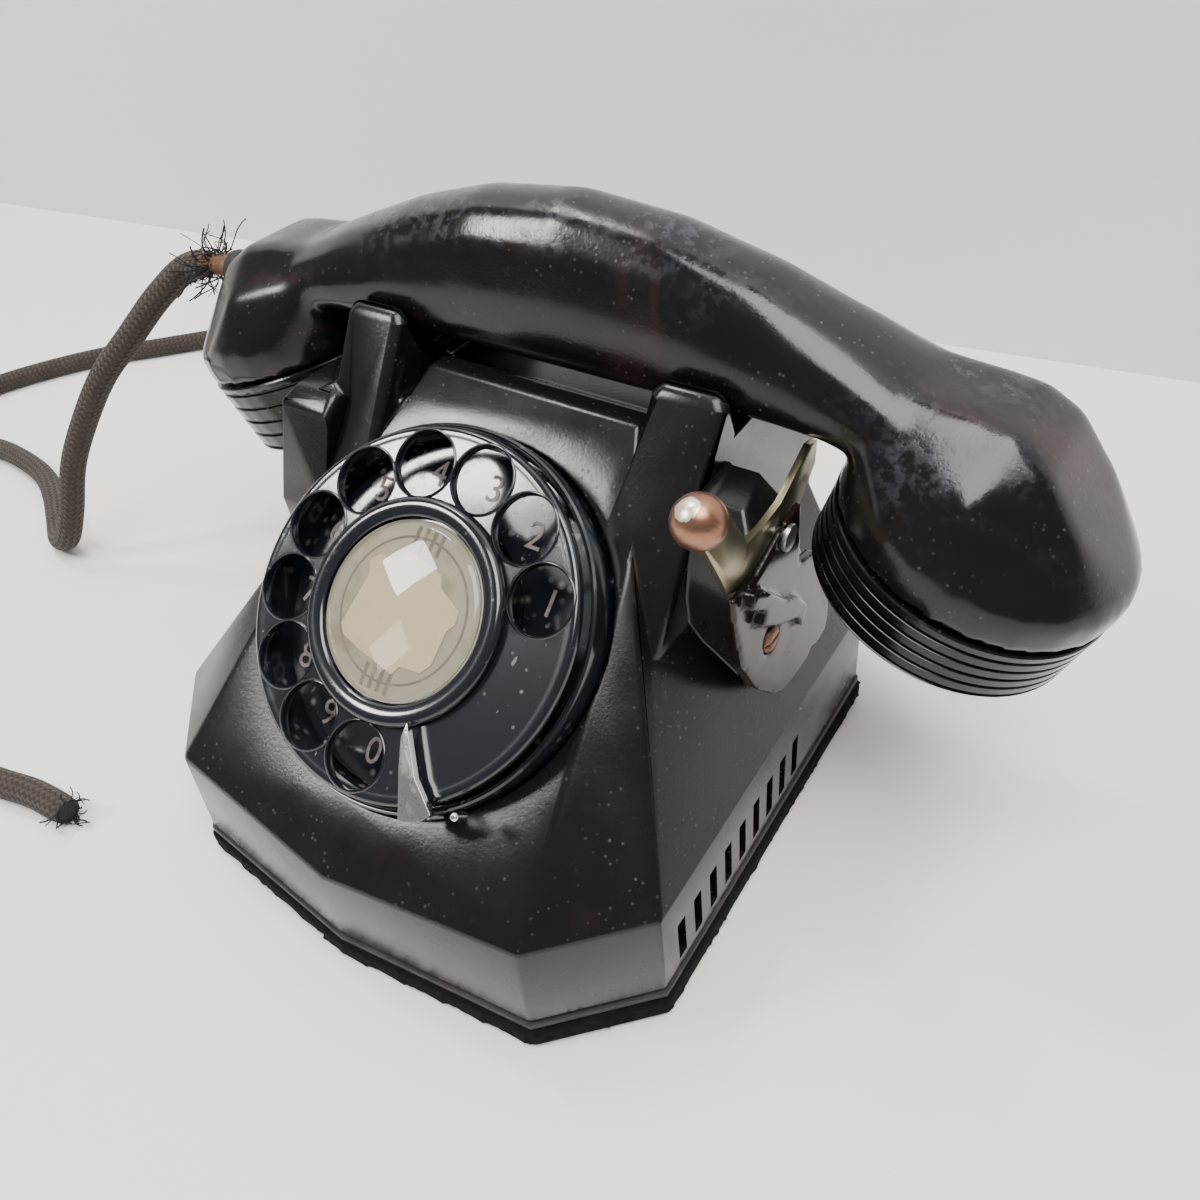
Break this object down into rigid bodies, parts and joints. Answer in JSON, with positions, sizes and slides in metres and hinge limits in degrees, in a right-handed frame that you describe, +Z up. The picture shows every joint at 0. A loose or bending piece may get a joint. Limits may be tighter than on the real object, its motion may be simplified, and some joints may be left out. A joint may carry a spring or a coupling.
{
  "type": "rotary desk telephone",
  "caption": "Faceted moulded desk telephone with a rotary dial, a lift-off handset on a horned cradle, a small side lever, louvred sides and cloth-covered cords.",
  "frame": {"origin": "middle of the felt pad's underside, on the table, halfway between the case's sides", "axes": "+Z up, -Y towards the person dialling, +X to that person's right"},
  "size_m": [0.519, 0.258, 0.1326],
  "materials": {
    "bakelite": "satin moulded phenolic",
    "bakelite_brown": "brown moulded phenolic",
    "enamel": "glossy black stove enamel",
    "plate_paint": "dull black paint",
    "can_paint": "grey paint",
    "felt": "black felt",
    "stop_chrome": "pitted plating",
    "steel": "plain steel",
    "brass": "dull brass",
    "lever_brass": "worn brass",
    "gong_brass": "turned brass",
    "copper_winding": "varnished copper winding",
    "aluminium": "plain",
    "rubber": "black",
    "cord_cloth": "braided brown cotton",
    "card": "aged card",
    "window": "clear celluloid",
    "knob": "worn plating over copper"
  },
  "bodies": {
    "base": {"case": "bakelite", "base_plate": "plate_paint", "base_felt": "felt", "base_screw_1": "steel", "base_screw_2": "steel", "base_screw_3": "steel", "base_screw_4": "steel", "dial_cup": "enamel", "number_plate": "enamel", "finger_stop": "stop_chrome", "stop_pin": "steel", "dial_frame": "steel", "spring_housing": "brass", "pulse_springs": "bakelite_brown", "governor_post_a": "steel", "governor_post_b": "steel", "ringer_frame": "steel", "gong_left": "gong_brass", "gong_right": "gong_brass", "coil_left": "copper_winding", "coil_right": "copper_winding", "condenser": "can_paint", "induction_coil": "copper_winding", "terminal_block": "bakelite_brown", "hook_bracket": "steel", "contact_stack": "bakelite_brown", "lever_bracket": "bakelite_brown", "bracket_screw": "steel", "lever_pivot": "steel", "line_bushing": "rubber", "spare_inlet_bushing": "rubber", "handset_cord": "cord_cloth", "line_cord": "cord_cloth", "line_cord_coil": "cord_cloth", "line_connector": "bakelite_brown"},
    "dial": {"finger_wheel": "enamel", "card_ring": "enamel", "number_card": "card", "card_window": "window", "dial_shaft": "steel", "main_gear": "brass"},
    "pulse_cam": {"pulse_cam": "bakelite_brown"},
    "governor": {"governor": "brass"},
    "handset": {"handset": "bakelite", "receiver_cap": "bakelite", "transmitter_cap": "bakelite", "receiver_unit": "aluminium", "transmitter_unit": "aluminium", "handset_bushing": "rubber"},
    "hook": {"plunger_left": "bakelite", "plunger_right": "bakelite", "hook_bar": "steel"},
    "side_lever": {"side_lever": "lever_brass", "lever_knob": "knob"},
    "clapper": {"clapper": "steel"}
  },
  "joints": [
    {"name": "dial_spin", "type": "hinge", "parent": "base", "child": "dial", "pos_m": [0, -0.0335, 0.071], "axis": [0, 0.6704, -0.742], "range_deg": [0, 320], "stiffness_Nm_per_rad": 0.008, "springref_deg": -57.3},
    {"name": "pulse_cam_spin", "type": "hinge", "parent": "base", "child": "pulse_cam", "pos_m": [0.0193, -0.02009, 0.05616], "axis": [0, 0.6704, -0.742], "continuous": true},
    {"name": "governor_spin", "type": "hinge", "parent": "base", "child": "governor", "pos_m": [-0.019, -0.01741, 0.05319], "axis": [0, 0.742, 0.6704], "continuous": true},
    {"name": "handset_lift", "type": "slide", "parent": "base", "child": "handset", "axis": [0, 0, 1], "range_m": [0, 0.12], "deforming": ["handset_cord"]},
    {"name": "hook_slide", "type": "slide", "parent": "base", "child": "hook", "axis": [0, 0, 1], "range_m": [0, 0.0082], "stiffness_N_per_m": 20, "springref_m": 0.012},
    {"name": "side_lever_tilt", "type": "hinge", "parent": "base", "child": "side_lever", "pos_m": [0.0588, 0.0074, 0.0846], "axis": [1, 0, 0], "range_deg": [-5, 5]},
    {"name": "clapper_swing", "type": "hinge", "parent": "base", "child": "clapper", "pos_m": [0, 0.044, 0.02], "axis": [0, 0, 1], "range_deg": [-7, 7], "stiffness_Nm_per_rad": 0.002}
  ],
  "couplings": [
    {"joint": "pulse_cam_spin", "follows": "dial_spin", "ratio": -3.75},
    {"joint": "governor_spin", "follows": "dial_spin", "ratio": 10},
    {"joint": "hook_slide", "follows": "handset_lift", "ratio": 0.0667}
  ]
}
